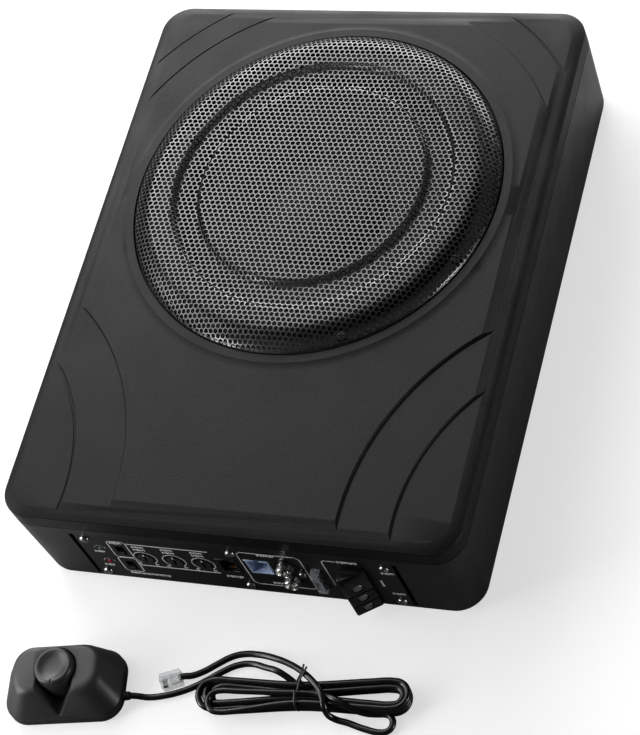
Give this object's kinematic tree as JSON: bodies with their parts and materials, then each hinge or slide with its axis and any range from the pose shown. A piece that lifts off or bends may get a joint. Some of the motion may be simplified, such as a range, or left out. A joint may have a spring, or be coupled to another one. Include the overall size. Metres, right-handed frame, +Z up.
{
  "type": "powered car subwoofer",
  "caption": "Slim under-seat powered subwoofer with a raised round grille, a control and terminal panel in one end, and a wired remote level control.",
  "frame": {"origin": "middle of the low flat pad under the enclosure, level with its rubber feet", "axes": "+Z up out of the grille, +Y along the enclosure away from the control panel, +X to the right when facing the far end"},
  "size_m": [0.25, 0.4177, 0.079],
  "materials": {
    "cover_paint": "fine-textured satin black paint on a metal cover",
    "base_paint": "smooth satin black paint",
    "black_metal": "glossy black enamel",
    "black_plastic": "satin black",
    "gloss_plastic": "glossy black",
    "cord_jacket": "glossy black vinyl",
    "rubber": "matt",
    "cone_paper": "black pressed pulp",
    "spider_cloth": "resin-dipped cloth",
    "coil_foil": "film former with enamelled wire",
    "zinc": "zinc or nickel plated",
    "ferrite": "sintered ferrite",
    "circuit_board": "green solder mask",
    "copper_wire": "enamelled copper winding",
    "nylon": "natural nylon",
    "clear_plastic": "clear",
    "green_lamp": "diffused lens",
    "red_lamp": "diffused lens"
  },
  "bodies": {
    "enclosure": {"base_shell": "base_paint", "top_cover": "cover_paint", "seam_gasket": "rubber", "foot_1": "rubber", "foot_2": "rubber", "foot_3": "rubber", "foot_4": "rubber", "cover_screw_1": "black_metal", "cover_screw_2": "black_metal", "cover_screw_3": "black_metal", "cover_screw_4": "black_metal", "grille": "black_metal", "basket": "black_metal", "surround": "rubber", "spider": "spider_cloth", "top_plate": "zinc", "magnet": "ferrite", "back_plate": "zinc", "control_panel": "black_plastic", "panel_screw_1": "zinc", "panel_screw_2": "zinc", "panel_screw_3": "zinc", "panel_screw_4": "zinc", "panel_screw_5": "zinc", "panel_screw_6": "zinc", "phono_screw": "zinc", "control_pots": "black_plastic", "switch_bank": "black_plastic", "power_lamp": "green_lamp", "protect_lamp": "red_lamp", "remote_jack": "gloss_plastic", "input_socket": "nylon", "phono_block": "black_plastic", "phono_jack_1": "zinc", "phono_jack_2": "zinc", "fuse_holder": "black_plastic", "power_block": "gloss_plastic", "clamp_screw_1": "zinc", "clamp_screw_2": "zinc", "clamp_screw_3": "zinc", "amplifier_board": "circuit_board", "transformer": "copper_wire", "remote_housing": "black_plastic", "remote_floor": "rubber", "remote_gland": "rubber", "remote_lead": "cord_jacket", "plug_tail": "cord_jacket", "cord_hank": "cord_jacket", "cord_tie": "rubber", "modular_plug": "clear_plastic"},
    "cone_assembly": {"cone": "cone_paper", "dust_cap": "cone_paper", "coil_former": "coil_foil"},
    "level_knob": {"level_knob": "gloss_plastic"},
    "crossover_knob": {"crossover_knob": "gloss_plastic"},
    "boost_knob": {"boost_knob": "gloss_plastic"},
    "phase_switch": {"phase_switch": "gloss_plastic"},
    "turn_on_switch": {"turn_on_switch": "gloss_plastic"},
    "blade_fuse": {"blade_fuse": "clear_plastic"},
    "remote_knob": {"remote_knob": "black_plastic"}
  },
  "joints": [
    {"name": "cone_travel", "type": "slide", "parent": "enclosure", "child": "cone_assembly", "axis": [0, 0, 1], "range_m": [-0.005, 0.005], "stiffness_N_per_m": 6000, "deforming": ["surround", "spider"]},
    {"name": "level_knob_turn", "type": "hinge", "parent": "enclosure", "child": "level_knob", "pos_m": [-0.0535, -0.1648, 0.0298], "axis": [0, -1, 0], "range_deg": [-150, 150]},
    {"name": "crossover_knob_turn", "type": "hinge", "parent": "enclosure", "child": "crossover_knob", "pos_m": [-0.037, -0.1648, 0.0298], "axis": [0, -1, 0], "range_deg": [-150, 150]},
    {"name": "boost_knob_turn", "type": "hinge", "parent": "enclosure", "child": "boost_knob", "pos_m": [-0.0205, -0.1648, 0.0298], "axis": [0, -1, 0], "range_deg": [-150, 150]},
    {"name": "phase_switch_slide", "type": "slide", "parent": "enclosure", "child": "phase_switch", "axis": [0, 0, 1], "range_m": [0, 0.004]},
    {"name": "turn_on_switch_slide", "type": "slide", "parent": "enclosure", "child": "turn_on_switch", "axis": [0, 0, 1], "range_m": [0, 0.004]},
    {"name": "fuse_pull", "type": "slide", "parent": "enclosure", "child": "blade_fuse", "axis": [0, -1, 0], "range_m": [0, 0.014]},
    {"name": "remote_knob_turn", "type": "hinge", "parent": "enclosure", "child": "remote_knob", "pos_m": [-0.08843, -0.22804, 0.0242], "axis": [0, 0, 1], "range_deg": [-150, 150]}
  ]
}
